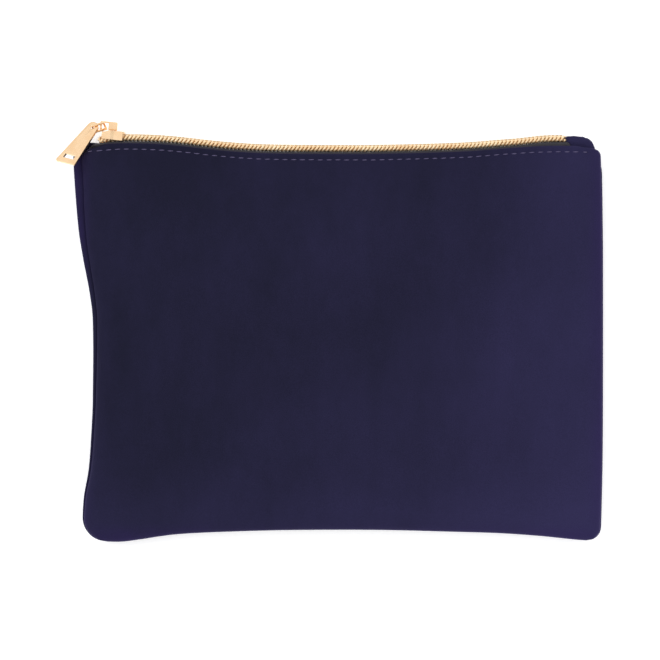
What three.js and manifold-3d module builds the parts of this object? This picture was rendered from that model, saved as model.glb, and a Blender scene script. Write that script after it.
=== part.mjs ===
// A soft zippered pouch, lying on its back wall with the zip away from the reader.
// Millimetres. +X runs along the zip, +Y points at the zip, +Z comes out of the front wall.
// The table is z = 0. Depths and half thicknesses are measured from the middle plane between the walls.

import * as THREE from 'three';
import { mergeVertices } from 'three/addons/utils/BufferGeometryUtils.js';
import Module from 'manifold-3d';

const wasm = await Module();
wasm.setup();

// ---- driving dimensions ----

const pouch = {
  width: 205,           // side seam to side seam at the corners
  height: 154.7,        // bottom seam to top fold at the corners
  leftHollow: 5.2,      // how far each edge is drawn in at its middle
  rightHollow: 0.8,
  bottomHollow: 4.5,
  bottomLeftRadius: 9.7,
  bottomRightRadius: 5,
  topLeftRadius: 5,
  topRightRadius: 4.5,
  seamGap: 0.4,         // between the two walls at the sewn edges
  seamRoll: 6,          // the walls are as thick as the zip's fold this far in from a seam
  bulge: 1.6,           // how much fuller than the fold each wall is in the middle
  bulgeReach: 45,       // where it gets there
};

const cloth = { velvet: 1, backing: 0.4, lining: 0.3, gap: 0.25 };

const zip = {
  sag: 4.3,             // how far the zip's line dips in the middle
  levelEnds: 14.5,      // and how far from each side it starts to
  foldGap: 1.5,         // bare tape between the coil and the top fold
  coilPitch: 1.515,
  coilHalf: 3,          // half the width of the closed chain
  coilHeight: 2,
  leftInset: 7.9,       // side seam to the coil's end
  rightInset: 14.9,
  toothDepth: 1,
  toothGap: 0.5,
  tapeInner: 1.2,       // the tape's inner edge, under the coil
  tapeLip: 0.3,         // bare tape between the coil's side and the fold
  tapeGap: 0.3,
  tapeThickness: 0.45,
  threadWidth: 0.5,
  threadHeight: 0.25,
  threadOffset: 2.4,
  threadGap: 0.3,
  stitchDrop: 1.75,     // topstitch below the fold
  stitchWidth: 0.45,
  tackLength: 1.2,
};

const slider = {
  inset: 8.7,           // side seam to the slider's mouth end when shut
  length: 9.6,
  plate: 0.8,
  wall: 0.6,
  clearance: 0.3,
  parting: 1.1,         // how far each coil is pushed out at the slider's mouth
  partFrom: 0.125,      // the coils part between these two shares of the slider's length
  partTo: -0.25,
  shoulderFrom: -0.06,  // shares of its length where it narrows towards the tail
  shoulderTo: 0.08,
  shoulderCut: 1.5,
  channelCut: 0.15,
  tongueHalf: 0.5,      // the wedge between the plates
  tongueTo: -0.17,      // share of its length where the wedge ends
  innerPlateGap: 0.8,   // inner plate to the folded tape beside it
  innerPlateSetback: 1.2,
  innerDrop: 0.75,      // inner plate's face below the tape
  crownHalf: 1,
  noseDrop: 1.4,        // the roof slopes down to its mouth end, over this length
  noseLength: 3.9,
  crownOverhang: 0.4,   // crown past the mouth end
  crownTail: 3.2,       // slider's tail to the crown's end
  crownPost: 0.8,
  crownWindow: 2.6,
  crownOpening: 3,
  crownRoof: 0.6,
};

const pull = {
  lean: 25,             // the link and the tab lean this far towards the front wall
  leanHeading: 111,     // heading that their hinge lines lean to, about +Z from +X
  wire: 0.75,
  linkReach: 4.6,       // bar to bar
  linkBehind: 1.75,     // middle of the leg behind the crown
  tabRise: 2.2,         // middle of the tab along the link's far bar
  linkHeading: 196,     // headings of the link and the tab seen from the front
  tabHeading: 236,
  tabThickness: 1.2,
  topHalf: 2.2,
  endHalf: 3.9,
  length: 18,           // hinge line to free end
  eyeGap: 0.3,
  endSlant: 16,         // the free end and its window are cut on the slant, degrees
  cornerCut: 0.5,
  windowHalf: 2,
  windowLength: 1.9,
  windowInset: 2.1,     // free end to the window's near edge
};

// Insets of the two seams are in grid lines from the edge.
const thread = { seam: 0.5, seamInset: 0.6, lining: 0.5, liningInset: 1.35, steps: 72 };
const touchGap = 0.3;     // between pieces that touch

// Cells of the cloth. The backing stops this share of a row short of the tape.
const grid = { columns: 20, rows: 13, backingShort: 0.06, threadCells: 30 };

// ---- shapes of the pouch's edges ----

const halfWidth = pouch.width / 2;
const halfHeight = pouch.height / 2;
const edgeHalf = cloth.velvet + pouch.seamGap / 2;
const foldInner = zip.coilHalf + zip.tapeLip;
const foldHalf = foldInner + zip.tapeThickness + cloth.gap + cloth.velvet;
const middleHalf = foldHalf + pouch.bulge;
const sagReach = halfWidth - zip.levelEnds;
const zipRadius = (sagReach ** 2 + zip.sag ** 2) / (2 * zip.sag);
const zipCentre = halfHeight + zip.foldGap - zip.sag + zipRadius;

// How far in a corner of this radius draws an edge, this far short of the corner.
function cornerInset(toCorner, radius) {
  const short = Math.max(0, radius - toCorner);
  return radius - Math.sqrt(radius * radius - Math.min(short, radius) ** 2);
}

function bow(along, reach) {
  return 1 - Math.min(1, Math.abs(along) / reach) ** 2;
}

function leftEdge(y) {
  const corners = cornerInset(halfHeight - y, pouch.topLeftRadius)
    + cornerInset(halfHeight + y, pouch.bottomLeftRadius);
  return -halfWidth + pouch.leftHollow * bow(y, halfHeight) + corners;
}

function rightEdge(y) {
  const corners = cornerInset(halfHeight - y, pouch.topRightRadius)
    + cornerInset(halfHeight + y, pouch.bottomRightRadius);
  return halfWidth - pouch.rightHollow * bow(y, halfHeight) - corners;
}

function bottomEdge(x) {
  return -halfHeight + pouch.bottomHollow * bow(x, halfWidth);
}

function topEdge(x) {
  const along = Math.min(Math.abs(x), sagReach);
  const rise = zipRadius - Math.sqrt(zipRadius ** 2 - along ** 2);
  return halfHeight - zip.sag + rise;
}

// ---- the grid that every sheet of cloth shares, so that the sheets nest with even gaps ----

function rollUp(share) {
  return 1 - (1 - Math.min(1, Math.max(0, share))) ** 2;
}

function swell(share) {
  return THREE.MathUtils.smoothstep(share, 0, 1);
}

function halfThickness(side, bottom, top) {
  const roll = rollUp(Math.min(side, bottom) / pouch.seamRoll);
  const bulge = swell(side / pouch.bulgeReach) * swell(bottom / pouch.bulgeReach) * swell(top / pouch.bulgeReach);
  return edgeHalf + (foldHalf - edgeHalf) * roll + pouch.bulge * bulge;
}

// A grid point: place on the pouch and half thickness there. Lines close up towards the edges.
function gridCorner(column, row) {
  const across = (1 - Math.cos(Math.PI * column / grid.columns)) / 2;
  const up = (1 - Math.cos(Math.PI * row / grid.rows)) / 2;
  const level = -halfHeight + pouch.height * up;
  const x = THREE.MathUtils.lerp(leftEdge(level), rightEdge(level), across);
  const y = THREE.MathUtils.lerp(bottomEdge(x), topEdge(x), up);
  const side = Math.min(x - leftEdge(level), rightEdge(level) - x);
  return new THREE.Vector3(x, y, halfThickness(side, y - bottomEdge(x), topEdge(x) - y));
}

function gridPoint(column, row) {
  const left = Math.min(Math.floor(column), grid.columns - 1);
  const low = Math.min(Math.floor(row), grid.rows - 1);
  const lower = gridCorner(left, low).lerp(gridCorner(left + 1, low), column - left);
  const upper = gridCorner(left, low + 1).lerp(gridCorner(left + 1, low + 1), column - left);
  return lower.lerp(upper, row - low);
}

// The grid row that lies this far below the top fold, inside the uppermost cells.
function rowBelowFold(drop) {
  const cell = topEdge(0) - gridCorner(grid.columns / 2, grid.rows - 1).y;
  return grid.rows - drop / cell;
}

// ---- making solids ----

function closed(geometry) {
  geometry.deleteAttribute('normal');
  geometry.deleteAttribute('uv');
  const merged = mergeVertices(geometry, 1e-5);
  merged.computeVertexNormals();
  return merged;
}

function toSolid(geometry) {
  const merged = closed(geometry);
  return new wasm.Manifold(new wasm.Mesh({
    numProp: 3,
    vertProperties: new Float32Array(merged.attributes.position.array),
    triVerts: new Uint32Array(merged.index.array),
  }));
}

function toGeometry(solid) {
  const mesh = solid.getMesh();
  const geometry = new THREE.BufferGeometry();
  geometry.setAttribute('position', new THREE.BufferAttribute(mesh.vertProperties, 3));
  geometry.setIndex(new THREE.BufferAttribute(mesh.triVerts, 1));
  geometry.computeVertexNormals();
  return geometry;
}

// Moves every corner of a box that is cut into cells to where place(across, up, outer) says.
function shapedBox(across, up, place) {
  const geometry = new THREE.BoxGeometry(1, 1, 1, across, up, 1);
  const position = geometry.attributes.position;
  for (let i = 0; i < position.count; i += 1) {
    const column = Math.round((position.getX(i) + 0.5) * across);
    const row = Math.round((position.getY(i) + 0.5) * up);
    position.setXYZ(i, ...place(column, row, position.getZ(i) > 0).toArray());
  }
  return closed(geometry);
}

// Turns a section of the front wall (side 1) into one of the back wall (side -1).
function onSide(points, side) {
  if (side > 0) {
    return points;
  }
  points.forEach((point) => point.setZ(-point.z));
  return points.reverse();
}

// A sheet of cloth over a list of grid rows, this deep under the wall's outer face.
function sheet(side, depth, thickness, firstColumn, lastColumn, rows) {
  return loft(span(firstColumn, lastColumn).map((column) => {
    const outer = rows.map((row) => gridPoint(column, row)).reverse();
    outer.forEach((point) => point.setZ(point.z - depth));
    const inner = outer.map((point) => point.clone().setZ(point.z - thickness)).reverse();
    return onSide([...outer, ...inner], side);
  }));
}

function span(first, last) {
  return Array.from({ length: last - first + 1 }, (_, index) => first + index);
}

// A place on the zip: along its line, out from it, and across it.
function onZip(along, out, across) {
  const angle = along / zipRadius;
  const reach = zipRadius - out;
  return new THREE.Vector3(reach * Math.sin(angle), zipCentre - reach * Math.cos(angle), across);
}

// A strip along the zip between two heights; edges(cell, along) gives its low and high side.
function zipStrip(start, end, cells, low, high, edges) {
  return shapedBox(cells, 1, (cell, up, upper) => {
    const along = THREE.MathUtils.lerp(start, end, cell / cells);
    const [under, over] = edges(cell, along);
    return onZip(along, up ? high : low, upper ? over : under);
  });
}

function cordAlong(points, width) {
  const half = width / 2;
  const section = new THREE.Shape([
    new THREE.Vector2(-half, -half), new THREE.Vector2(half, -half),
    new THREE.Vector2(half, half), new THREE.Vector2(-half, half),
  ]);
  const path = new THREE.CatmullRomCurve3(points, false, 'centripetal');
  const shape = { steps: thread.steps, extrudePath: path, bevelEnabled: false };
  return closed(new THREE.ExtrudeGeometry(section, shape));
}

// Closed solid through equal rings of points. The first half of a ring faces the second half in
// reverse. Every cell is split from its low left corner to its high right one, so sheets that lie
// over each other are split alike.
function loft(rings) {
  const size = rings[0].length;
  const index = [];
  for (let ring = 0; ring + 1 < rings.length; ring += 1) {
    for (let corner = 0; corner < size; corner += 1) {
      const turn = (corner + 1) % size;
      const here = ring * size + corner;
      const next = ring * size + turn;
      if (rings[ring][turn].y > rings[ring][corner].y) {
        index.push(here, next + size, here + size, here, next, next + size);
      } else {
        index.push(here, next, here + size, next, next + size, here + size);
      }
    }
  }
  const last = (rings.length - 1) * size;
  for (let corner = 0; corner + 1 < size / 2; corner += 1) {
    const facing = size - 1 - corner;
    index.push(corner, facing, facing - 1, corner, facing - 1, corner + 1);
    index.push(last + corner, last + facing - 1, last + facing);
    index.push(last + corner, last + corner + 1, last + facing - 1);
  }
  const geometry = new THREE.BufferGeometry().setFromPoints(rings.flat());
  geometry.setIndex(index);
  geometry.computeVertexNormals();
  return geometry;
}

// ---- cloth ----

const tapeDepth = cloth.velvet + cloth.gap;
const liningDepth = tapeDepth + zip.tapeThickness + cloth.gap;
const lastTapeRow = grid.rows - 2;

function velvetWall(side) {
  return sheet(side, 0, cloth.velvet, 0, grid.columns, span(0, grid.rows));
}

function backingWall(side) {
  const rows = [...span(1, lastTapeRow - 1), lastTapeRow - grid.backingShort];
  return sheet(side, tapeDepth, cloth.backing, 1, grid.columns - 1, rows);
}

function liningWall(side) {
  return sheet(side, liningDepth, cloth.lining, 1, grid.columns - 1, span(1, grid.rows - 1));
}

function topstitch(side) {
  const rows = [zip.stitchDrop + zip.stitchWidth, zip.stitchDrop].map(rowBelowFold);
  return sheet(side, -touchGap - zip.stitchWidth, zip.stitchWidth, 1, grid.columns - 1, rows);
}

// The tape lies flat under the coil, then turns down between the velvet and the lining.
function tapeSection(column, side) {
  const fold = gridPoint(column, grid.rows);
  const shin = gridPoint(column, grid.rows - 1);
  const foot = gridPoint(column, lastTapeRow);
  const top = fold.y + zip.foldGap - zip.tapeGap;
  const under = top - zip.tapeThickness;
  const outer = fold.z - tapeDepth;
  const inner = outer - zip.tapeThickness;
  const edge = Math.min(zip.tapeInner, inner / 2);
  const points = [
    new THREE.Vector3(fold.x, top, edge),
    new THREE.Vector3(fold.x, top, outer),
    new THREE.Vector3(fold.x, fold.y, outer),
    new THREE.Vector3(shin.x, shin.y, shin.z - tapeDepth),
    new THREE.Vector3(foot.x, foot.y, foot.z - tapeDepth),
    new THREE.Vector3(foot.x, foot.y, foot.z - tapeDepth - zip.tapeThickness),
    new THREE.Vector3(shin.x, shin.y, shin.z - tapeDepth - zip.tapeThickness),
    new THREE.Vector3(fold.x, fold.y, inner),
    new THREE.Vector3(fold.x, under, inner),
    new THREE.Vector3(fold.x, under, edge),
  ];
  return onSide(points, side);
}

function tape(side) {
  return loft(span(1, grid.columns - 1).map((column) => tapeSection(column, side)));
}

function seamPath(inset) {
  const down = span(1, grid.rows - 1).reverse().map((row) => gridPoint(inset, row));
  const along = span(1, grid.columns - 1).map((column) => gridPoint(column, inset));
  const up = span(1, grid.rows - 1).map((row) => gridPoint(grid.columns - inset, row));
  return [...down, ...along, ...up].map((point) => point.setZ(0));
}

// ---- the zip's chain ----

const coilStart = zip.leftInset - halfWidth;
const coilEnd = halfWidth - zip.rightInset;
const sliderStart = slider.inset + slider.length / 2 - halfWidth;

// Each coil is pushed aside where it enters the slider.
function parting(along) {
  const entry = sliderStart + slider.length * slider.partFrom;
  const mouth = sliderStart + slider.length * slider.partTo;
  return slider.parting * THREE.MathUtils.smoothstep(-along, -entry, -mouth);
}

function coil(side) {
  const cells = 2 * Math.round((coilEnd - coilStart) / zip.coilPitch);
  return zipStrip(coilStart, coilEnd, cells, 0, zip.coilHeight, (cell, along) => {
    const tooth = (cell % 2 ? 1 : -1) * zip.toothDepth / 2;
    const inner = side * (zip.toothGap / 2 + parting(along)) + tooth;
    const outer = side * (zip.coilHalf + parting(along));
    return side > 0 ? [inner, outer] : [outer, inner];
  });
}

function coilThread(side) {
  const low = zip.coilHeight + zip.threadGap;
  const high = low + zip.threadHeight;
  return zipStrip(coilStart, coilEnd, grid.threadCells, low, high, (cell, along) => {
    const middle = side * (zip.threadOffset + parting(along));
    return [middle - zip.threadWidth / 2, middle + zip.threadWidth / 2];
  });
}

function endTack() {
  const start = coilEnd + touchGap;
  return zipStrip(start, start + zip.tackLength, 1, 0, zip.coilHeight, () => [-zip.coilHalf, zip.coilHalf]);
}

// ---- the slider, in its own frame: x along the zip, y out of it, z across it ----

const roofLow = zip.coilHeight + zip.threadGap + zip.threadHeight + slider.clearance;
const roofHigh = roofLow + slider.plate;
const innerHigh = -zip.tapeGap - zip.tapeThickness - slider.innerDrop;
const skirtLow = slider.clearance / 2;
const tailInner = zip.coilHalf + slider.clearance;
const mouthInner = tailInner + slider.parting;
const reach = slider.length / 2;
const innerPlateHalf = foldInner - slider.innerPlateGap;
const crownStart = -slider.crownOverhang - reach;
const crownEnd = reach - slider.crownTail;

// Flat outline in x and z, raised from one height to another.
function raised(outline, low, high) {
  const shape = new THREE.Shape(outline.map(([x, z]) => new THREE.Vector2(x, z)));
  const geometry = new THREE.ExtrudeGeometry(shape, { depth: high - low, bevelEnabled: false });
  geometry.rotateX(-Math.PI / 2);
  geometry.translate(0, low, 0);
  return toSolid(geometry);
}

function mirrored(half) {
  return [...half, ...half.map(([x, z]) => [x, -z]).reverse()];
}

// Half widths at the mouth and the tail, with the shoulders between them.
function sliderOutline(mouth, tail, end, cut) {
  return mirrored([
    [-end, mouth - cut], [cut - end, mouth], [slider.length * slider.shoulderFrom, mouth],
    [slider.length * slider.shoulderTo, tail], [end - cut / 2, tail], [end, tail - cut / 2],
  ]);
}

function sliderBody() {
  const outline = sliderOutline(mouthInner + slider.wall, tailInner + slider.wall, reach, slider.shoulderCut);
  const channel = sliderOutline(mouthInner, tailInner, reach + slider.wall, slider.channelCut);
  const inner = mirrored([[slider.innerPlateSetback - reach, innerPlateHalf], [reach, innerPlateHalf]]);
  const tongueEnd = slider.length * slider.tongueTo;
  const tongue = mirrored([[slider.wall - reach, slider.tongueHalf], [tongueEnd, slider.tongueHalf / 2]]);
  const cap = raised(outline, skirtLow, roofHigh).subtract(raised(channel, skirtLow - slider.wall, roofLow));
  const floor = raised(inner, innerHigh - slider.plate, innerHigh);
  const post = raised(tongue, innerHigh - slider.plate / 2, roofLow + slider.plate / 2);
  return toGeometry(cap.subtract(noseCut()).add(floor).add(post));
}

function noseCut() {
  const start = -reach - slider.wall;
  const end = slider.noseLength - reach;
  const high = roofHigh + slider.wall;
  const shape = new THREE.Shape();
  shape.moveTo(start, roofHigh - slider.noseDrop);
  shape.lineTo(-reach, roofHigh - slider.noseDrop);
  shape.lineTo(end, roofHigh);
  shape.lineTo(end, high);
  shape.lineTo(start, high);
  const half = mouthInner + 2 * slider.wall;
  const geometry = new THREE.ExtrudeGeometry(shape, { depth: 2 * half, bevelEnabled: false });
  geometry.translate(0, 0, -half);
  return toSolid(geometry);
}

function sliderCrown() {
  const low = roofHigh + touchGap;
  const ceiling = roofHigh + slider.crownOpening;
  const top = ceiling + slider.crownRoof;
  const windowStart = crownStart + slider.crownPost;
  const windowEnd = windowStart + slider.crownWindow;
  const cut = slider.crownRoof;
  const shape = new THREE.Shape();
  shape.moveTo(crownStart, low);
  shape.lineTo(windowStart, low);
  shape.lineTo(windowStart, ceiling);
  shape.lineTo(windowEnd, ceiling);
  shape.lineTo(windowEnd, low);
  shape.lineTo(crownEnd, low);
  shape.lineTo(crownEnd, top - cut);
  shape.quadraticCurveTo(crownEnd, top, crownEnd - cut, top);
  shape.lineTo(crownStart + cut, top);
  shape.quadraticCurveTo(crownStart, top, crownStart, top - cut);
  const width = 2 * slider.crownHalf;
  const geometry = new THREE.ExtrudeGeometry(shape, { depth: width, bevelEnabled: false, curveSegments: 4 });
  geometry.translate(0, 0, -slider.crownHalf);
  return closed(geometry);
}

// ---- link and tab: x away from the hinge line, z along it ----

function ringPath(Kind, left, low, right, high, cut) {
  const path = new Kind();
  path.moveTo(left + cut, low);
  path.lineTo(right - cut, low);
  path.lineTo(right, low + cut);
  path.lineTo(right, high - cut);
  path.lineTo(right - cut, high);
  path.lineTo(left + cut, high);
  path.lineTo(left, high - cut);
  path.lineTo(left, low + cut);
  path.closePath();
  return path;
}

function pullLink() {
  const half = pull.wire / 2;
  const high = pull.tabRise + pull.tabThickness / 2 + touchGap + half;
  const low = -pull.linkBehind;
  const outline = ringPath(THREE.Shape, -half, low - half, pull.linkReach + half, high + half, half);
  const hole = ringPath(THREE.Path, half, low + half, pull.linkReach - half, high - half, half / 2);
  outline.holes.push(hole);
  const geometry = new THREE.ExtrudeGeometry(outline, { depth: pull.wire, bevelEnabled: false });
  geometry.translate(0, 0, -half);
  geometry.rotateX(Math.PI / 2);
  return closed(geometry);
}

// A line across the tab at this distance, slanted like the free end.
function slantLine(distance, half) {
  const slope = Math.tan(THREE.MathUtils.degToRad(pull.endSlant));
  return [new THREE.Vector2(distance + half * slope, -half), new THREE.Vector2(distance - half * slope, half)];
}

function pullTab() {
  const [nearEnd, farEnd] = slantLine(pull.length, pull.endHalf);
  const outline = new THREE.Shape();
  outline.absarc(0, 0, pull.topHalf, Math.PI / 2, 3 * Math.PI / 2, false);
  outline.lineTo(nearEnd.x - pull.cornerCut, nearEnd.y);
  outline.lineTo(nearEnd.x, nearEnd.y + pull.cornerCut);
  outline.lineTo(farEnd.x, farEnd.y - pull.cornerCut);
  outline.lineTo(farEnd.x - pull.cornerCut, farEnd.y);
  outline.closePath();
  const eye = new THREE.Path();
  eye.absarc(0, 0, pull.wire * Math.SQRT1_2 + pull.eyeGap, 0, 2 * Math.PI, true);
  const far = slantLine(pull.length - pull.windowInset, pull.windowHalf);
  const near = slantLine(pull.length - pull.windowInset - pull.windowLength, pull.windowHalf);
  const opening = new THREE.Path([far[0], near[0], near[1], far[1]]);
  opening.closePath();
  outline.holes.push(eye, opening);
  const depth = pull.tabThickness;
  const geometry = new THREE.ExtrudeGeometry(outline, { depth, bevelEnabled: false, curveSegments: 10 });
  geometry.translate(0, 0, -depth / 2);
  return closed(geometry);
}

// ---- finishes and assembly ----

const finish = {
  velvet: { color: 0x24213d, roughness: 0.95, metalness: 0 },
  backing: { color: 0xd8d4cc, roughness: 1, metalness: 0 },
  lining: { color: 0x17161f, roughness: 0.6, metalness: 0 },
  tape: { color: 0x1b1a20, roughness: 0.9, metalness: 0 },
  thread: { color: 0x4a4668, roughness: 0.7, metalness: 0 },
  coil: { color: 0xd9b274, roughness: 0.35, metalness: 0.8 },
  gold: { color: 0xf0c890, roughness: 0.25, metalness: 1 },
};

function piece(name, geometry, look) {
  const mesh = new THREE.Mesh(geometry, new THREE.MeshStandardMaterial(finish[look]));
  mesh.name = name;
  return mesh;
}

function wallPieces(name, side) {
  return [
    piece(`${name}_panel`, velvetWall(side), 'velvet'),
    piece(`${name}_interlining`, backingWall(side), 'backing'),
    piece(`${name}_lining`, liningWall(side), 'lining'),
    piece(`${name}_tape`, tape(side), 'tape'),
    piece(`${name}_coil`, coil(side), 'coil'),
    piece(`${name}_coil_thread`, coilThread(side), 'thread'),
    piece(`${name}_topstitch`, topstitch(side), 'thread'),
  ];
}

// The link hangs in the crown's window and the tab on the link's far bar, on parallel leaning lines.
function pullGroup() {
  const heading = THREE.MathUtils.degToRad(pull.leanHeading);
  const group = new THREE.Group();
  group.rotation.set(0, THREE.MathUtils.degToRad(pull.lean), heading, 'ZYX');
  const link = piece('pull_link', pullLink(), 'gold');
  link.rotation.z = THREE.MathUtils.degToRad(pull.linkHeading) - heading;
  const tab = piece('pull_tab', pullTab(), 'gold');
  tab.position.set(pull.linkReach, 0, pull.tabRise).applyEuler(link.rotation);
  tab.rotation.z = THREE.MathUtils.degToRad(pull.tabHeading) - heading;
  group.add(link, tab);
  return group;
}

function sliderGroup() {
  const group = new THREE.Group();
  const angle = sliderStart / zipRadius;
  group.position.copy(onZip(sliderStart, 0, 0));
  group.rotation.z = angle;
  group.add(piece('slider_body', sliderBody(), 'gold'), piece('slider_crown', sliderCrown(), 'gold'));
  const swing = pullGroup();
  const eye = crownStart + slider.crownPost + slider.crownWindow / 2;
  swing.position.set(eye, roofHigh + slider.crownOpening / 2, 0);
  swing.rotation.z -= angle;
  group.add(swing);
  return group;
}

const assembly = new THREE.Group();
assembly.position.z = middleHalf;
assembly.add(
  ...wallPieces('front', 1),
  ...wallPieces('back', -1),
  piece('seam_thread', cordAlong(seamPath(thread.seamInset), thread.seam), 'thread'),
  piece('lining_thread', cordAlong(seamPath(thread.liningInset), thread.lining), 'thread'),
  piece('end_tack', endTack(), 'thread'),
  sliderGroup(),
);

const model = new THREE.Group();
model.add(assembly);

export default model;
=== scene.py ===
import bpy
import bmesh
import math
from mathutils import Matrix, Vector, noise
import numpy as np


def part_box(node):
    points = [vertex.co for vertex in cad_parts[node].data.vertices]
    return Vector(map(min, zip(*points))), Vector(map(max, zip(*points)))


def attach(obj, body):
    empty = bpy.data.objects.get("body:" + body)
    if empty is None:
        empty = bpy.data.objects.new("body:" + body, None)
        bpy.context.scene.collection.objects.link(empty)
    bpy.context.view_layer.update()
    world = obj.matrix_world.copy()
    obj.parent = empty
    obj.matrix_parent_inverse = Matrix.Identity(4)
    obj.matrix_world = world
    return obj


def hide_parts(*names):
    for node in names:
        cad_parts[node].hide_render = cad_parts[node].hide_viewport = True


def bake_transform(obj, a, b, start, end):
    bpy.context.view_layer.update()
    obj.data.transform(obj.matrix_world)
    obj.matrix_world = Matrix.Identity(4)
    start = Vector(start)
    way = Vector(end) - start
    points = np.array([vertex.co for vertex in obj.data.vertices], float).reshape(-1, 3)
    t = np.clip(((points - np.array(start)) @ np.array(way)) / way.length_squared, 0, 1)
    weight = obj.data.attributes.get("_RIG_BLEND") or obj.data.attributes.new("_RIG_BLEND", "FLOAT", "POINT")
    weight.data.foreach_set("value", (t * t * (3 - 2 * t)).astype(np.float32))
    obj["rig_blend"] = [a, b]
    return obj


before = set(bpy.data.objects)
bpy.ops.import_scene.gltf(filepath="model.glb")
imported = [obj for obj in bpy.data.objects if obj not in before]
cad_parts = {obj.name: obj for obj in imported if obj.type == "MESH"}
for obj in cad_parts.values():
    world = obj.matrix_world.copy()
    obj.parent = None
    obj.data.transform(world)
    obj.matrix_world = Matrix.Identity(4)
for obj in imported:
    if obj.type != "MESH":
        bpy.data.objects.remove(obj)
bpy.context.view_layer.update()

mm = 0.001
panelLow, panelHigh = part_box("front_panel")
middleZ = (panelLow.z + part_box("back_panel")[1].z) / 2
topZ = panelHigh.z
coilLow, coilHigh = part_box("front_coil")
coilStart, coilEnd = coilLow.x / mm, coilHigh.x / mm


def ease(value, start, end):
    share = min(1.0, max(0.0, (value - start) / (end - start)))
    return share * share * (3 - 2 * share)


def alongLine(points, at):                 # smooth line through a few points
    if at <= points[0][0]:
        return points[0][1]
    for index in range(len(points) - 1):
        left, right = points[index], points[index + 1]
        if at <= right[0]:
            before = points[max(index - 1, 0)]
            after = points[min(index + 2, len(points) - 1)]
            span = right[0] - left[0]
            share = (at - left[0]) / span
            slopeIn = (right[1] - before[1]) / (right[0] - before[0]) * span
            slopeOut = (after[1] - left[1]) / (after[0] - left[0]) * span
            s2, s3 = share ** 2, share ** 3
            return ((2 * s3 - 3 * s2 + 1) * left[1] + (s3 - 2 * s2 + share) * slopeIn
                    + (3 * s2 - 2 * s3) * right[1] + (s3 - s2) * slopeOut)
    return points[-1][1]


class Wire:
    # wraps a socket so that sums on values can be written plainly
    def __init__(self, paint, socket):
        self.paint, self.socket = paint, socket

    def math(self, operation, first, second):
        node = self.paint.node("ShaderNodeMath", {"operation": operation}, {0: first, 1: second})
        return Wire(self.paint, node.outputs[0])

    def __add__(self, other):
        return self.math("ADD", self, other)

    def __radd__(self, other):
        return self.math("ADD", other, self)

    def __sub__(self, other):
        return self.math("SUBTRACT", self, other)

    def __rsub__(self, other):
        return self.math("SUBTRACT", other, self)

    def __mul__(self, other):
        return self.math("MULTIPLY", self, other)

    def __rmul__(self, other):
        return self.math("MULTIPLY", other, self)

    def __truediv__(self, other):
        return self.math("DIVIDE", self, other)


class Paint:
    def __init__(self, name):
        self.material = bpy.data.materials.new(name)
        self.material.use_nodes = True
        self.tree = self.material.node_tree
        self.tree.nodes.clear()
        self.coat = self.node("ShaderNodeBsdfPrincipled", {}, {})
        output = self.node("ShaderNodeOutputMaterial", {}, {"Surface": self.coat.outputs[0]})
        output.target = "ALL"

    def node(self, kind, settings, values):
        made = self.tree.nodes.new(kind)
        stops = settings.pop("stops", None)
        for key, value in settings.items():
            setattr(made, key, value)
        if stops:
            ramp = made.color_ramp
            while len(ramp.elements) < len(stops):
                ramp.elements.new(1.0)
            for element, (where, colour) in zip(ramp.elements, stops):
                element.position = where
                element.color = (*colour, 1) if hasattr(colour, "__len__") else (colour,) * 3 + (1,)
        for key, value in values.items():
            socket = made.inputs[key]
            if isinstance(value, Wire):
                self.tree.links.new(value.socket, socket)
            elif isinstance(value, bpy.types.NodeSocket):
                self.tree.links.new(value, socket)
            else:
                socket.default_value = value
        return made

    def wire(self, kind, settings, values, output=0):
        return Wire(self, self.node(kind, settings, values).outputs[output])

    def spot(self):                        # where we are on the piece, in millimetres
        here = self.node("ShaderNodeTexCoord", {}, {})
        return self.node("ShaderNodeVectorMath", {"operation": "SCALE"},
                         {0: here.outputs["Object"], "Scale": 1000.0}).outputs[0]

    def axes(self):
        apart = self.node("ShaderNodeSeparateXYZ", {}, {0: self.spot()})
        return [Wire(self, socket) for socket in apart.outputs]

    def cloud(self, scale, detail=3.0, rough=0.55, stretch=(1, 1, 1), shift=(0, 0, 0)):
        turned = self.node("ShaderNodeMapping", {}, {
            "Vector": self.spot(), "Scale": stretch, "Location": shift})
        return self.wire("ShaderNodeTexNoise", {}, {
            "Vector": turned.outputs[0], "Scale": 1 / scale, "Detail": detail, "Roughness": rough})

    def ramp(self, value, stops, kind="EASE"):
        made = self.node("ShaderNodeValToRGB", {"stops": stops}, {"Fac": value})
        made.color_ramp.interpolation = kind
        return Wire(self, made.outputs[0])

    def blend(self, amount, first, second, how="MIX"):
        made = self.node("ShaderNodeMix", {"data_type": "RGBA", "blend_type": how}, {0: amount})
        for socket, colour in ((made.inputs[6], first), (made.inputs[7], second)):
            if isinstance(colour, Wire):
                self.tree.links.new(colour.socket, socket)
            else:
                socket.default_value = (*colour, 1)
        return Wire(self, made.outputs[2])

    def relief(self, height, distance, strength=1.0):
        made = self.node("ShaderNodeBump", {}, {
            "Height": height, "Distance": distance * mm, "Strength": strength})
        self.tree.links.new(made.outputs[0], self.coat.inputs["Normal"])

    def give(self, **values):
        for key, value in values.items():
            socket = self.coat.inputs[key.replace("_", " ")]
            if isinstance(value, Wire):
                self.tree.links.new(value.socket, socket)
            elif hasattr(value, "__len__"):
                socket.default_value = (*value, 1)
            else:
                socket.default_value = value


def wave(paint, along, pitch, shift=0.0):  # 0 to 1 and back every pitch
    turned = along * (2 * math.pi / pitch) + shift
    return paint.wire("ShaderNodeMath", {"operation": "SINE"}, {0: turned}) * 0.5 + 0.5


velvetLook = {
    "dark": (0.0120, 0.0118, 0.0282),      # painted shade: the velvet where its nap is stroked away from the light
    "light": (0.0290, 0.0252, 0.0765),     # painted sheen: the velvet where its nap is stroked towards the light
    "edge": (0.0260, 0.0150, 0.0800),      # painted sheen on the rolled edges
    "sheenTint": (0.42, 0.36, 0.86),
}


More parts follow.
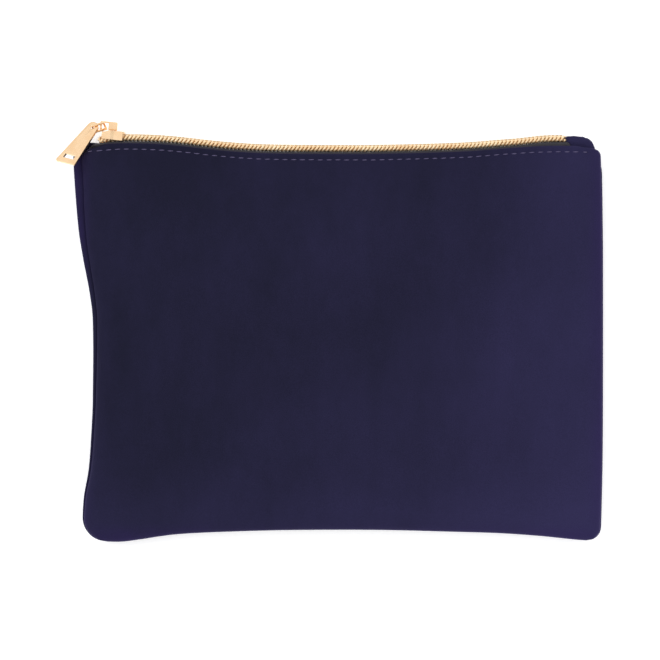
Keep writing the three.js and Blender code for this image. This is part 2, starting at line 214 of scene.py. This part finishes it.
def velvetPaint():
    paint = Paint("velvet")
    x, y, z = paint.axes()
    blotch = paint.cloud(46, 2.5, 0.5, (1, 0.8, 1), (11, 4, 0))
    stroke = paint.cloud(13, 3, 0.6, (1, 0.35, 1), (3, 9, 0))
    mottle = paint.cloud(4.5, 4, 0.65, (1, 0.6, 1), (7, 2, 0))
    # painted shade and sheen: random nap clouds, a lightening towards the right, and painted sheen towards
    # the foot where the cloth curves down, share the velvet between its shaded and lit colours
    toRight = paint.ramp(x / 240 + 0.5, [(0.12, 0.0), (0.62, 0.20), (0.93, 1.0)])
    footSheen = paint.ramp(0.5 - y / 190, [(0.1, 0.0), (0.72, 0.35), (0.90, 1.0)])
    napLieAndSheen = blotch * 0.50 + stroke * 0.24 + mottle * 0.18 + toRight * 0.52 + footSheen * 0.34 - 0.38
    napAndSheenShare = paint.ramp(napLieAndSheen, [(0.05, 0.0), (0.90, 1.0)], "LINEAR")
    cloth = paint.blend(napAndSheenShare, velvetLook["dark"], velvetLook["light"])
    # painted sheen where the cloth rolls over at the sides and along the foot, broken up by the stroke clouds
    sideSheen = paint.ramp(paint.wire("ShaderNodeMath", {"operation": "ABSOLUTE"}, {0: x}) / 110,
                          [(0.86, 0.0), (0.945, 1.0)])
    footRimSheen = paint.ramp(0.5 - y / 160, [(0.93, 0.0), (0.99, 1.0)])
    edgeSheen = paint.wire("ShaderNodeMath", {"operation": "MAXIMUM"}, {0: sideSheen, 1: footRimSheen})
    cloth = paint.blend(edgeSheen * stroke * 0.9, cloth, velvetLook["edge"])
    fibre = paint.cloud(0.34, 2, 0.7)
    tuft = paint.cloud(1.6, 3, 0.6)
    cloth = paint.blend(0.30, cloth, paint.ramp(fibre, [(0.3, 0.25), (0.7, 0.95)]), "MULTIPLY")
    paint.give(Base_Color=cloth, Roughness=0.88, Sheen_Weight=0.13, Sheen_Roughness=0.38,
               Sheen_Tint=velvetLook["sheenTint"], Specular_IOR_Level=0.05)
    paint.relief(fibre * 0.7 + tuft * 0.5, 0.16, 0.55)
    return paint.material


liningLook = {"yarn": (0.010, 0.0095, 0.017), "shine": (0.030, 0.028, 0.046), "thread": 0.34}


def liningPaint():
    paint = Paint("lining")
    x, y, z = paint.axes()
    warp = wave(paint, x, liningLook["thread"])
    weft = wave(paint, y, liningLook["thread"])
    over = wave(paint, x + y, liningLook["thread"] * 2)
    weave = warp * over + weft * (1 - over)
    slub = paint.cloud(7, 3, 0.6, (0.15, 1, 1))
    paint.give(Base_Color=paint.blend(weave * 0.6 + slub * 0.3, liningLook["yarn"], liningLook["shine"]),
               Roughness=0.62 - slub * 0.16, Sheen_Weight=0.12, Sheen_Roughness=0.4)
    paint.relief(weave, 0.05, 0.5)
    return paint.material


def interliningPaint():
    paint = Paint("interlining")
    felt = paint.cloud(0.9, 4, 0.7)
    flat = paint.cloud(9, 2, 0.5)
    paint.give(Base_Color=paint.blend(felt * 0.7 + flat * 0.3, (0.52, 0.50, 0.45), (0.76, 0.74, 0.69)),
               Roughness=0.95, Sheen_Weight=0.1)
    paint.relief(felt, 0.12, 0.6)
    return paint.material


tapeLook = {"yarn": (0.020, 0.019, 0.023), "rib": (0.062, 0.058, 0.068), "ribWidth": 0.62}


def tapePaint():
    paint = Paint("zip_tape")
    x, y, z = paint.axes()
    slant = wave(paint, x + (y + z) * 0.9, tapeLook["ribWidth"])
    back = wave(paint, x - (y + z) * 0.9, tapeLook["ribWidth"])
    stripe = wave(paint, y + z, tapeLook["ribWidth"] * 3)
    herring = slant * stripe + back * (1 - stripe)
    worn = paint.cloud(4, 3, 0.6)
    paint.give(Base_Color=paint.blend(herring * 0.75 + worn * 0.25, tapeLook["yarn"], tapeLook["rib"]),
               Roughness=0.85, Sheen_Weight=0.03, Sheen_Roughness=0.5, Specular_IOR_Level=0.15)
    paint.relief(herring, 0.09, 0.8)
    return paint.material


def threadPaint(name, dark, light, pitch):
    paint = Paint(name)
    x, y, z = paint.axes()
    ply = wave(paint, x + y * 0.8 + z * 0.8, pitch)
    fluff = paint.cloud(0.5, 2, 0.6)
    paint.give(Base_Color=paint.blend(ply * 0.7 + fluff * 0.3, dark, light), Roughness=0.55 + fluff * 0.2,
               Sheen_Weight=0.25, Sheen_Roughness=0.4)
    paint.relief(ply, 0.06, 0.8)
    return paint.material


coilLook = {"low": (0.90, 0.62, 0.34), "high": (1.0, 0.84, 0.58)}


def coilPaint():
    paint = Paint("gilt_coil")
    thin = paint.cloud(0.8, 3, 0.6)
    long = paint.cloud(14, 2, 0.5)
    tone = paint.ramp(thin * 0.6 + long * 0.4, [(0.36, 0.0), (0.66, 1.0)])
    paint.give(Base_Color=paint.blend(tone, coilLook["low"], coilLook["high"]), Metallic=0.55,
               Roughness=0.30 + thin * 0.14)
    paint.relief(thin, 0.03, 0.3)
    return paint.material


goldLook = {"plate": (1.0, 0.72, 0.45), "warm": (0.93, 0.61, 0.34)}


def goldPaint():
    paint = Paint("gold_metal")
    breath = paint.cloud(3.4, 3, 0.55)
    hair = paint.cloud(0.30, 2, 0.6, (0.06, 1, 1))
    rubbed = paint.cloud(1.1, 4, 0.65)
    tone = paint.ramp(breath, [(0.34, 0.0), (0.68, 1.0)])
    paint.give(Base_Color=paint.blend(tone * 0.55, goldLook["plate"], goldLook["warm"]), Metallic=1.0,
               Roughness=0.17 + hair * 0.09 + rubbed * 0.07)
    paint.relief(hair * 0.5 + rubbed, 0.012, 0.35)
    return paint.material


velvet = velvetPaint()
lining = liningPaint()
interlining = interliningPaint()
tapeCloth = tapePaint()
stitchThread = threadPaint("thread", (0.040, 0.033, 0.085), (0.125, 0.104, 0.205), 0.28)
seamThread = threadPaint("seam_thread_look", (0.020, 0.017, 0.040), (0.060, 0.052, 0.105), 0.28)
coilSewing = threadPaint("gilt_thread", (0.72, 0.50, 0.24), (0.98, 0.80, 0.50), 0.30)
giltCoil = coilPaint()
gold = goldPaint()
print("finishes ready")


def toFrame(bm):                           # from millimetres about the middle plane to metres
    bmesh.ops.transform(bm, matrix=Matrix.Translation((0, 0, middleZ)) @ Matrix.Scale(mm, 4), verts=bm.verts)


def makePiece(name, bm, material, smooth=True):
    mesh = bpy.data.meshes.new(name)
    for face in bm.faces:
        face.smooth = smooth
    bm.to_mesh(mesh)
    bm.free()
    mesh.materials.append(material)
    piece = bpy.data.objects.new(name, mesh)
    bpy.context.scene.collection.objects.link(piece)
    return piece


def addModifier(piece, kind, **settings):
    modifier = piece.modifiers.new(kind.title(), kind)
    for key, value in settings.items():
        setattr(modifier, key, value)
    return modifier


# The front wall's share of the mouth's swing: nothing at the side seams, most left of the middle.
mouth = {"left": -98.0, "right": 68.0, "sharpness": 1.5}


def mouthShare(x):
    along = (x / mm - mouth["left"]) / (mouth["right"] - mouth["left"])
    if along <= 0 or along >= 1:
        return 0.0
    return math.sin(math.pi * along) ** mouth["sharpness"]


def bendWithMouth(piece):
    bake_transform(piece, "back", "front", (0, panelLow.y, middleZ), (0, panelHigh.y, middleZ))
    weights = piece.data.attributes["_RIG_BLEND"].data
    for vertex in piece.data.vertices:
        weights[vertex.index].value = mouthShare(vertex.co.x)


def settle(piece, side, *nodes):           # a wall's piece goes with its wall and stands for its CAD nodes
    if side > 0:
        bendWithMouth(piece)
    else:
        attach(piece, "back")
    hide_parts(*nodes)


wallName = {1: "front", -1: "back"}


outline = {
    "left": [(-78, -100.6), (-61, -99.9), (-49, -97.9), (-32, -96.7), (-22, -96.3), (9, -96.3), (20, -97.6),
             (32, -99.9), (44, -101.8), (67, -103.6), (79, -103.9)],
    "right": [(-78, 101.3), (-66, 101.9), (-40, 102.4), (30, 102.5), (52, 102.3), (64, 102.1), (76, 101.8)],
    "bottom": [(-101, -77.2), (-93, -77.2), (-85, -77.3), (-77, -76.3), (-70, -75.2), (-62, -74.3),
               (-46, -73.5), (-20, -72.8), (15, -72.75), (46, -73.5), (62, -74.0), (78, -75.1),
               (93, -76.6), (102, -77.1)],
    "fold": [(-104, 75.9), (-94, 76.5), (-84, 77.1), (-68, 76.6), (-45, 74.2), (-29, 73.2), (0, 72.9),
             (17, 73.0), (48, 73.9), (64, 75.1), (79, 76.0), (92, 76.0), (103, 75.6)],
    "backFold": [(-104, 78.2), (-99, 77.9), (-95, 77.6), (-90, 77.2), (-84, 76.9), (-68, 76.6),
                 (-45, 74.2), (-29, 73.2), (0, 72.9), (17, 73.0), (48, 73.9), (64, 75.2),
                 (79, 76.5), (84, 78.7), (87, 80.0), (90, 80.3), (95, 80.4), (103, 79.9)],
    "peek": [(-78, 0.3), (-60, 0.7), (-20, 1.2), (10, 1.7), (30, 2.3), (52, 2.9), (67, 3.3), (79, 2.4)],
    "foot": 77.35,                         # level lines run from -foot to foot
}
corners = {
    1: {"topLeft": 6.0, "topRight": 2.8, "bottomLeft": 9.7, "bottomRight": 5.2},
    -1: {"topLeft": 3.2, "topRight": 4.4, "bottomLeft": 9.7, "bottomRight": 5.2},
}


def cornerInset(toCorner, radius):
    short = min(max(0.0, radius - toCorner), radius)
    return radius - math.sqrt(max(0.0, radius * radius - short * short))


def leftSide(level, side):
    foot, corner = outline["foot"], corners[side]
    inset = cornerInset(foot - level, corner["topLeft"]) + cornerInset(foot + level, corner["bottomLeft"])
    peek = alongLine(outline["peek"], level) if side > 0 else 0
    return alongLine(outline["left"], level) + peek + inset


def rightSide(level, side):
    foot, corner = outline["foot"], corners[side]
    inset = cornerInset(foot - level, corner["topRight"]) + cornerInset(foot + level, corner["bottomRight"])
    hidden = 0.25 if side > 0 else 2.7 * ease(level, 64, 75)
    return alongLine(outline["right"], level) - inset - hidden


def foldLine(x, side):
    return alongLine(outline["fold" if side > 0 else "backFold"], x)


body = {
    "seam": 0.5,                           # half thickness at the seams
    "foldRise": 5.0,                       # at the fold beside the zip
    "swell": 1.5,                          # added in the middle
    "roll": 7.5,                           # how far in the sides round over
    "stitchDrop": 1.75,
    "stitchPitch": 3.42,
    "ripple": 0.34,
    "pucker": 0.30,
    "groove": 0.42,
    "restsAt": 6.3,                        # the table, from the middle plane
}


def rise(x, y, side, left, right, bottom, top):
    nearSide = min(left, right, bottom)
    rounding = math.sqrt(max(0.0, 1 - (1 - min(1.0, max(0.0, nearSide) / body["roll"])) ** 2))
    high = body["seam"] + (body["foldRise"] - body["seam"]) * rounding
    high += body["swell"] * ease(min(left, right), 0, 45) * ease(bottom, 0, 45) * ease(top, 0, 45)
    spot = Vector((x, y, 20.0 * side))
    calm = ease(nearSide, 2, 16)
    high += body["ripple"] * calm * noise.noise(spot / 34)
    high += body["ripple"] * 0.45 * calm * noise.noise(Vector((x / 11, y / 24, 5 * side)))
    seamward = math.exp(-nearSide / 5.0) * ease(nearSide, 0, 1.5)
    high += body["pucker"] * seamward * noise.noise(Vector((x / 4.2, y / 4.2, 9.0)))
    if side < 0:                           # the back lies on the table
        high = body["restsAt"] - math.log1p(math.exp(6 * (body["restsAt"] - high))) / 6 if high > 3 else high
    return high


def pressed(x, top):                       # the topstitch pulls the fold down
    nearStitch = math.exp(-((top - body["stitchDrop"]) / 0.55) ** 2)
    dimple = 0.5 + 0.5 * math.cos(2 * math.pi * x / body["stitchPitch"])
    return -body["groove"] * nearStitch * (0.55 + 0.45 * dimple) + 0.10 * ease(1.7 - top, 0, 1.2) * dimple


def crowd(share, amount):                  # closes grid lines up towards both ends
    return (1 - amount) * share + amount * (1 - math.cos(math.pi * share)) / 2


def wallPoint(across, up, side, depth=0.0):
    foot = outline["foot"]
    level = -foot + 2 * foot * up
    x = leftSide(level, side) * (1 - across) + rightSide(level, side) * across
    bottom, top = alongLine(outline["bottom"], x), foldLine(x, side)
    y = bottom * (1 - up) + top * up
    high = rise(x, y, side, x - leftSide(level, side), rightSide(level, side) - x, y - bottom, top - y)
    if depth == 0:
        high += pressed(x, top - y)
    if side < 0:
        high = min(high, middleZ / mm - 0.05)
    return Vector((x, y, side * (high - depth)))


def growEdges(bm, edges, origin, steps, move):
    # draws a row of open edges on, one step after another
    for step in steps:
        grown = bmesh.ops.extrude_edge_only(bm, edges=edges)["geom"]
        fresh = {item for item in grown if isinstance(item, bmesh.types.BMVert)}
        edges = [item for item in grown if isinstance(item, bmesh.types.BMEdge) and set(item.verts) <= fresh]
        for vertex in fresh:
            others = [edge.other_vert(vertex) for edge in vertex.link_edges]
            source = next(other for other in others if other not in fresh)
            origin[vertex] = origin[source]
        for vertex in fresh:
            vertex.co = move(origin[vertex], step)
    return edges


turnPoints = {"left": -90, "right": 94, "foot": -65, "head": 71}


def inward(point):                         # which way is in from an edge of the outline
    outX = min(0, point.x - turnPoints["left"]) + max(0, point.x - turnPoints["right"])
    outY = min(0, point.y - turnPoints["foot"]) + max(0, point.y - turnPoints["head"])
    if outX and outY:
        return Vector((-outX, -outY, 0)).normalized()
    return Vector((0, 1, 0)) if outY < 0 else Vector((1 if point.x < 0 else -1, 0, 0))


# The back wall's velvet folds over the zip's shut end, at the top right.
flapCut = {
    "end": 88.0,
    "reach": [0.01, 0.05, 0.16, 0.42, 0.75, 1.0],
    "rise": [0, 0.5, 1.3, 2.2, 2.6, 2.7],
}


def velvetWall(side):
    bm = bmesh.new()
    bmesh.ops.create_grid(bm, x_segments=270, y_segments=118, size=1)
    origin, topRow = {}, set()
    for vertex in bm.verts:
        across, up = (vertex.co.x + 1) / 2, (vertex.co.y + 1) / 2
        if up > 0.9999:
            topRow.add(vertex)
        spot = wallPoint(crowd(across, 0.35), crowd(up, 0.62), side)
        origin[vertex] = (spot, up)
        vertex.co = spot
    openEdges = [edge for edge in bm.edges if len(edge.link_faces) == 1]
    folded = [edge for edge in openEdges if set(edge.verts) <= topRow]
    sewn = [edge for edge in openEdges if not set(edge.verts) <= topRow]

    def lip(spot, step):                   # the front tucks in, the back rolls out from under it
        point, up = spot
        way = inward(point)
        if side > 0:
            return point + way * (0.45 * (step + 1)) + Vector((0, 0, -0.8 * (step + 1)))
        peek = alongLine(outline["peek"], point.y) if point.x < 0 and point.y > -70 else 0.35
        tuck, lift = [(-0.04, 0.35), (0.10, 0.80), (0.42, 1.10), (0.80, 1.08), (1.15, 0.80), (1.6, 0.2)][step]
        flap = ease(point.y, 71.0, 75.0) if point.x > 0 else 0
        wide = peek * tuck * (1 - flap)
        across = flap * (point.x - flapCut["end"]) * flapCut["reach"][step]
        lift = lift * (0.6 + 0.5 * min(peek, 2.4)) + flap * flapCut["rise"][step]
        return point + way * wide + Vector((-across, 0, lift))

    def overFold(spot, step):              # the fold turns in behind the zip tape
        point, up = spot
        radius = 0.62 * (0.2 + 0.8 * ease(95 - point.x, 0, 4))
        turn = [0.25, 0.5, 0.75, 1.0][step] * math.pi if step < 4 else math.pi
        down = 0 if step < 4 else (step - 3) * 2.2
        return Vector((point.x, point.y + radius * math.sin(turn) - down,
                       point.z - side * radius * (1 - math.cos(turn))))

    growEdges(bm, sewn, origin, range(3 if side > 0 else 6), lip)
    growEdges(bm, folded, origin, range(7), overFold)
    if side < 0:
        bmesh.ops.reverse_faces(bm, faces=bm.faces)
    toFrame(bm)
    piece = makePiece(f"{wallName[side]}_velvet", bm, velvet)
    addModifier(piece, "SOLIDIFY", thickness=0.45 * mm, offset=-1)
    settle(piece, side, f"{wallName[side]}_panel")
    return piece


frontVelvet = velvetWall(1)
backVelvet = velvetWall(-1)
print("velvet walls ready")


layers = {
    "interlining": {"depth": 1.35, "thickness": 0.35, "top": 0.90, "inset": 0.012,
                    "flat": (0.199, 0.138)},
    "lining": {"depth": 2.15, "thickness": 0.25, "top": 0.975, "inset": 0.016,
               "flat": (0.198, 0.149)},
}


def innerLayer(kind, side, material):
    shape = layers[kind]
    bm = bmesh.new()
    bmesh.ops.create_grid(bm, x_segments=120, y_segments=80, size=1)
    for vertex in bm.verts:
        across = shape["inset"] + (1 - 2 * shape["inset"]) * crowd((vertex.co.x + 1) / 2, 0.4)
        up = 0.02 + (shape["top"] - 0.02) * crowd((vertex.co.y + 1) / 2, 0.4)
        spot = wallPoint(across, up, side, shape["depth"])
        spot.z = side * max(0.35 + (0.2 if kind == "lining" else 0.5), side * spot.z)
        if kind == "lining":               # soft creases in the loose lining
            spot.z -= side * 0.22 * (0.5 + noise.noise(Vector((spot.x / 9, spot.y / 26, side * 3))))
        vertex.co = spot
    if side < 0:
        bmesh.ops.reverse_faces(bm, faces=bm.faces)
    toFrame(bm)
    piece = makePiece(f"{wallName[side]}_{kind}_cloth", bm, material)
    addModifier(piece, "SOLIDIFY", thickness=shape["thickness"] * mm, offset=-1)
    settle(piece, side, f"{wallName[side]}_{kind}")
    return piece


for wall in (1, -1):
    innerLayer("interlining", wall, interlining)
    innerLayer("lining", wall, lining)
print("linings ready")


tapeCut = {
    "section": [(-9.0, 3.45), (-4.0, 3.50), (-0.4, 3.52), (0.55, 3.50), (1.12, 3.30), (1.44, 2.80),
                (1.50, 2.0), (1.50, 0.9)],   # up from the fold, out from the middle
    "thickness": 0.42,
    "flat": (0.198, 0.0125),
}


def coilBase(x):                           # the underside of the coil runs just above the fold
    return foldLine(min(max(x, -90.0), 80.0), 1) + 1.5 + 0.75 * ease(x, 66, 84) - 0.8 * ease(-x, 89, 95)


def tapeDrop(x):                           # the tape's ends dive into the side seams
    return 3.0 * ease(-x, 95, 99.5) + 4.5 * ease(x, 88.2, 92)


def pathPoint(points, share):
    spotAt = share * (len(points) - 1)
    index = min(int(spotAt), len(points) - 2)
    part = spotAt - index
    before, first, second = points[max(index - 1, 0)], points[index], points[index + 1]
    after = points[min(index + 2, len(points) - 1)]
    return [0.5 * (2 * b + (c - a) * part + (2 * a - 5 * b + 4 * c - d) * part ** 2
                   + (3 * b - a - 3 * c + d) * part ** 3) for a, b, c, d in zip(before, first, second, after)]


def zipTape(side):
    bm = bmesh.new()
    bmesh.ops.create_grid(bm, x_segments=260, y_segments=26, size=1)
    for vertex in bm.verts:
        x = -99.4 + 197.0 * (vertex.co.x + 1) / 2
        up, out = pathPoint(tapeCut["section"], (vertex.co.y + 1) / 2)
        y = coilBase(x) - 1.5 + up - tapeDrop(x) * ease(up, -9, 1)
        out += partedBy(x) * ease(up, 0.2, 1.1)
        toLeft, toRight = x - leftSide(y, side), rightSide(y, side) - x
        roof = rise(x, y, side, toLeft, toRight, 140, foldLine(x, side) - y) - 1.15
        out = min(out, max(0.3, roof)) if y < foldLine(x, side) + 0.2 else out
        vertex.co = Vector((x, y + 0.05 * noise.noise(Vector((x / 3, 0, side))), side * out))
    if side < 0:
        bmesh.ops.reverse_faces(bm, faces=bm.faces)
    toFrame(bm)
    piece = makePiece(f"{wallName[side]}_zip_tape", bm, tapeCloth)
    addModifier(piece, "SOLIDIFY", thickness=tapeCut["thickness"] * mm, offset=-1)
    settle(piece, side, f"{wallName[side]}_tape")
    return piece


coilCut = {
    "pitch": 1.515,
    "wire": 0.46,                          # radius of the filament
    "depth": 1.55,                         # half depth of a turn, along the pouch's thickness
    "height": 0.80,                        # half height of a turn
    "middle": 1.35,                        # middle of the turns from the middle plane
    "lean": 0.62,                          # share of a pitch that the outer leg leans
    "turnSteps": 14,
    "sides": 6,
}


def partedBy(x):                           # each coil swings out into the slider's mouth
    return 1.0 * ease(-x, 87.8, 91.5)


def coilLine(side, turn):
    angle = 2 * math.pi * turn
    x = coilStart + coilCut["wire"] + coilCut["pitch"] * (turn + (0.5 if side < 0 else 0))
    x += coilCut["lean"] * coilCut["pitch"] * 0.5 * math.sin(angle)
    out = math.copysign(abs(math.cos(angle)) ** 0.8, math.cos(angle)) * coilCut["depth"]
    up = math.copysign(abs(math.sin(angle)) ** 0.8, math.sin(angle)) * coilCut["height"]
    y = coilBase(x) + coilCut["height"] + coilCut["wire"] + up
    return Vector((x, y, side * (coilCut["middle"] + out + partedBy(x))))


def sweep(points, radius, sides, flat=1.0):
    # a round cord: one ring run along the points, then both ends closed
    bm = bmesh.new()
    ring = bmesh.ops.create_circle(bm, cap_ends=False, radius=radius, segments=sides)["verts"]
    shape = [vertex.co.copy() for vertex in ring]
    edges = list(bm.edges)
    first = edges
    up = Vector((0, 0, 1))
    for index, point in enumerate(points):
        ahead = (points[min(index + 1, len(points) - 1)] - points[max(index - 1, 0)]).normalized()
        across = up.cross(ahead)
        across = across.normalized() if across.length > 1e-6 else Vector((1, 0, 0))
        upward = ahead.cross(across)
        up = upward
        for vertex, flatSpot in zip(ring, shape):
            vertex.co = point + across * flatSpot.x + upward * flatSpot.y * flat
        if index + 1 < len(points):
            grown = bmesh.ops.extrude_edge_only(bm, edges=edges)["geom"]
            fresh = [item for item in grown if isinstance(item, bmesh.types.BMVert)]
            nextOf = {}
            for vertex in fresh:
                source = next(e.other_vert(vertex) for e in vertex.link_edges if e.other_vert(vertex) in ring)
                nextOf[source] = vertex
            known = set(fresh)
            grownEdges = [item for item in grown if isinstance(item, bmesh.types.BMEdge)]
            edges = [edge for edge in grownEdges if set(edge.verts) <= known]
            ring = [nextOf[vertex] for vertex in ring]
    bmesh.ops.holes_fill(bm, edges=first + edges, sides=sides)
    bmesh.ops.recalc_face_normals(bm, faces=bm.faces)
    return bm


def zipCoil(side):
    turns = round((coilEnd - coilStart - coilCut["wire"]) / coilCut["pitch"])
    count = turns * coilCut["turnSteps"]
    bm = sweep([coilLine(side, step / coilCut["turnSteps"]) for step in range(count)],
               coilCut["wire"], coilCut["sides"])
    toFrame(bm)
    piece = makePiece(f"{wallName[side]}_zip_coil", bm, giltCoil)
    settle(piece, side, f"{wallName[side]}_coil")
    return piece


def coilStitches(side):
    # the chain stitch that holds the coil on its tape
    bm = bmesh.new()
    turns = int((coilEnd - coilStart) / coilCut["pitch"])
    for turn in range(1, turns):
        x = coilStart + coilCut["pitch"] * turn
        y = coilBase(x) + 2 * (coilCut["height"] + coilCut["wire"]) + 0.06
        seat = Matrix.Translation((x, y, side * (1.9 + partedBy(x))))
        bmesh.ops.create_uvsphere(bm, u_segments=8, v_segments=5, radius=1,
                                  matrix=seat @ Matrix.Rotation(0.35 * side, 4, "Y")
                                  @ Matrix.Diagonal((0.86, 0.17, 0.36, 1)))
    toFrame(bm)
    piece = makePiece(f"{wallName[side]}_coil_sewing", bm, coilSewing)
    settle(piece, side, f"{wallName[side]}_coil_thread")
    return piece


def topStitches(side):
    bm = bmesh.new()
    start, end = -98.5, 99.5
    count = int((end - start) / body["stitchPitch"])
    for index in range(count):
        x = start + body["stitchPitch"] * (index + 0.5)
        jitter = 0.10 * noise.noise(Vector((index * 1.7, side, 0)))
        top = foldLine(x, side)
        y = top - body["stitchDrop"] + jitter
        slope = math.atan2(foldLine(x + 1, side) - foldLine(x - 1, side), 2)
        foot = outline["foot"]
        bottom = alongLine(outline["bottom"], x)
        level = -foot + 2 * foot * (y - bottom) / (top - bottom)
        if x < leftSide(level, side) + 1.6 or x > rightSide(level, side) - 1.6:
            continue
        high = rise(x, y, side, x - leftSide(level, side), rightSide(level, side) - x, 140, top - y)
        high += pressed(x + body["stitchPitch"] / 2, top - y)
        seat = Matrix.Translation((x, y, side * (high + 0.02)))
        turn = Matrix.Rotation(slope + 0.05 + 0.12 * jitter, 4, "Z")
        bmesh.ops.create_uvsphere(bm, u_segments=12, v_segments=8, radius=1,
                                  matrix=seat @ turn @ Matrix.Rotation(math.pi / 2, 4, "Y")
                                  @ Matrix.Diagonal((0.20, 0.21, 1.22, 1)))
    toFrame(bm)
    piece = makePiece(f"{wallName[side]}_stitches", bm, stitchThread)
    settle(piece, side, f"{wallName[side]}_topstitch")
    return piece


for wall in (1, -1):
    zipTape(wall)
    zipCoil(wall)
    coilStitches(wall)
    topStitches(wall)
print("zip and stitching ready")


tackCut = {"wraps": 6, "thread": 0.17}


def endTack():
    low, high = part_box("end_tack")
    bm = bmesh.new()
    for index in range(tackCut["wraps"]):
        x = low.x / mm + 0.1 + 0.26 * index
        y = coilBase(80) + 1.2
        ring = []
        for step in range(33):
            angle = 2 * math.pi * step / 32
            ring.append(Vector((x + 0.1 * math.sin(angle), y + 0.9 * math.sin(angle), 1.9 * math.cos(angle))))
        loop = sweep(ring, tackCut["thread"], 6)
        mesh = bpy.data.meshes.new("wrap")
        loop.to_mesh(mesh)
        loop.free()
        bm.from_mesh(mesh)
        bpy.data.meshes.remove(mesh)
    toFrame(bm)
    piece = makePiece("end_tack_wraps", bm, seamThread)
    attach(piece, "back")
    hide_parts("end_tack")


endTack()


seamCut = {"seam": {"inset": 1.6, "radius": 0.20}, "lining": {"inset": 3.4, "radius": 0.20}}


def seamLine(kind):
    cut = seamCut[kind]
    points = []
    for index in range(241):
        share = index / 240
        if share < 0.3:                    # down the left, along the foot, up the right
            across, up = 0.0, 0.93 - 0.93 * share / 0.3
        elif share < 0.7:
            across, up = (share - 0.3) / 0.4, 0.0
        else:
            across, up = 1.0, 0.93 * (share - 0.7) / 0.3
        level = -outline["foot"] + 2 * outline["foot"] * up
        x = leftSide(level, 1) * (1 - across) + rightSide(level, 1) * across
        y = alongLine(outline["bottom"], x) * (1 - up) + foldLine(x, 1) * up
        spot = Vector((x, y, 0)) + inward(Vector((x, y, 0))) * cut["inset"]
        if not points or (spot - points[-1]).length > 0.8:
            points.append(spot + Vector((0, 0, 0.06 * math.sin(index * 2.1))))
    return points


for kind in seamCut:
    bm = sweep(seamLine(kind), seamCut[kind]["radius"], 8)
    toFrame(bm)
    seam = makePiece(f"{kind}_sewing", bm, seamThread)
    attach(seam, "back")
    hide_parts(f"{kind}_thread")
print("seams ready")


def refinedCopy(node, name, bodyName, width, segments=3):
    # a copy of the CAD piece with its flats joined up and its edges rounded
    bm = bmesh.new()
    bm.from_mesh(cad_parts[node].data)
    bmesh.ops.remove_doubles(bm, verts=bm.verts, dist=0.002 * mm)
    bmesh.ops.dissolve_limit(bm, angle_limit=math.radians(2), verts=bm.verts, edges=bm.edges)
    piece = makePiece(name, bm, gold)
    addModifier(piece, "BEVEL", width=width * mm, segments=segments, limit_method="ANGLE",
                angle_limit=math.radians(34), profile=0.5, harden_normals=False)
    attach(piece, bodyName)
    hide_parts(node)
    return piece


refinedCopy("slider_body", "slider_shell", "slider", 0.22)
refinedCopy("slider_crown", "slider_bridge", "slider", 0.30)
refinedCopy("pull_link", "wire_link", "link", 0.24)
refinedCopy("pull_tab", "bar_pull", "tab", 0.22)
print("slider and pull ready")


stageSetup = {"floor": (0.96, 0.96, 0.96), "glow": 0.3, "sky": 1.0, "horizon": 0.5,
              "distance": 1.2, "seenWidth": 0.25575}


def buildStage():
    bm = bmesh.new()
    bmesh.ops.create_grid(bm, x_segments=1, y_segments=1, size=3)
    mesh = bpy.data.meshes.new("floor")
    bm.to_mesh(mesh)
    bm.free()
    floor = bpy.data.objects.new("floor", mesh)
    paint = Paint("floor")
    paint.give(Base_Color=stageSetup["floor"], Roughness=0.9, Emission_Color=(1, 1, 1),
               Emission_Strength=stageSetup["glow"])
    mesh.materials.append(paint.material)
    bpy.context.scene.collection.objects.link(floor)
    world = bpy.data.worlds.new("studio")
    world.use_nodes = True
    tree = world.node_tree
    backdrop = tree.nodes["Background"]
    here, apart = tree.nodes.new("ShaderNodeTexCoord"), tree.nodes.new("ShaderNodeSeparateXYZ")
    grade = tree.nodes.new("ShaderNodeMapRange")    # bright overhead, dimmer near the horizon
    tree.links.new(here.outputs["Generated"], apart.inputs[0])
    tree.links.new(apart.outputs[2], grade.inputs["Value"])
    grade.inputs["From Min"].default_value, grade.inputs["From Max"].default_value = 0.05, 0.5
    grade.inputs["To Min"].default_value = stageSetup["sky"] * stageSetup["horizon"]
    grade.inputs["To Max"].default_value = stageSetup["sky"]
    tree.links.new(grade.outputs[0], backdrop.inputs["Strength"])
    backdrop.inputs["Color"].default_value = (1, 1, 1, 1)
    bpy.context.scene.world = world
    lamps = [("soft_top", (-0.7, 0.6, 0.8), 0.7, 5.0), ("soft_side", (0.9, -0.5, 0.6), 0.5, 2.5)]
    for name, spot, size, power in lamps:
        data = bpy.data.lights.new(name, "AREA")
        data.size, data.energy = size, power
        lamp = bpy.data.objects.new(name, data)
        lamp.location = spot
        lamp.visible_glossy = False        # the gold mirrors the backdrop only
        lamp.rotation_euler = (-Vector(spot)).to_track_quat("-Z", "Y").to_euler()
        bpy.context.scene.collection.objects.link(lamp)


def buildCamera():
    data = bpy.data.cameras.new("camera")
    data.sensor_width = 36
    data.lens = 36 * stageSetup["distance"] / stageSetup["seenWidth"]
    camera = bpy.data.objects.new("camera", data)
    camera.location = (-0.0039, 0.00515, topZ + stageSetup["distance"])
    bpy.context.scene.collection.objects.link(camera)
    bpy.context.scene.camera = camera


buildStage()
buildCamera()
bpy.context.scene.view_settings.view_transform = "Standard"
print("stage ready")

bpy.context.view_layer.update()
